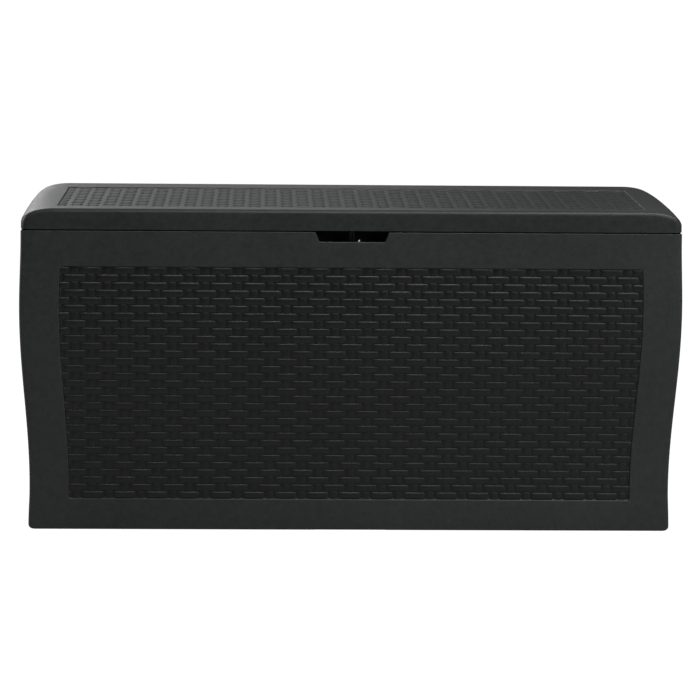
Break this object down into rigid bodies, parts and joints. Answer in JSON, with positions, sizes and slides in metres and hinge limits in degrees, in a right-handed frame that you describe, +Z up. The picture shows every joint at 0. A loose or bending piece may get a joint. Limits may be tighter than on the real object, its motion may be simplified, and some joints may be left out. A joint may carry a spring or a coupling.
{
  "type": "deck storage box",
  "caption": "Long low resin deck storage box with woven-look panels, gently waisted walls and a hinged lid with a finger notch and padlock tabs.",
  "frame": {"origin": "centre of the box's underside, on the ground", "axes": "+X to the right seen from the front, +Y to the rear where the hinges are, +Z up"},
  "size_m": [1.17, 0.447, 0.577],
  "materials": {
    "body_plastic": "matte charcoal, fine moulded grain",
    "lid_plastic": "matte charcoal, fine moulded grain",
    "black_plastic": "matte black",
    "black_rubber": "matte",
    "steel": "zinc plated"
  },
  "bodies": {
    "box": {"floor_panel": "body_plastic", "front_panel": "body_plastic", "rear_panel": "body_plastic", "left_side_panel": "body_plastic", "right_side_panel": "body_plastic", "finger_pocket": "black_plastic", "lock_tab": "steel", "lid_buffers": "black_rubber", "hinge_bracket_left": "black_plastic", "hinge_bracket_centre": "black_plastic", "hinge_bracket_right": "black_plastic", "hinge_pin_left": "steel", "hinge_pin_centre": "steel", "hinge_pin_right": "steel", "floor_screws": "steel", "corner_screws": "steel", "pocket_screws": "steel", "lock_tab_screws": "steel", "hinge_bracket_screws": "steel"},
    "lid": {"lid_shell": "lid_plastic", "lid_liner": "black_plastic", "hasp_tab": "steel", "hinge_leaf_left": "black_plastic", "hinge_leaf_centre": "black_plastic", "hinge_leaf_right": "black_plastic", "hinge_leaf_screws": "steel", "liner_screws": "steel", "hasp_screws": "steel"}
  },
  "joints": [
    {"name": "lid_hinge", "type": "hinge", "parent": "box", "child": "lid", "pos_m": [0, 0.216, 0.5445], "axis": [-1, 0, 0], "range_deg": [0, 110]}
  ]
}
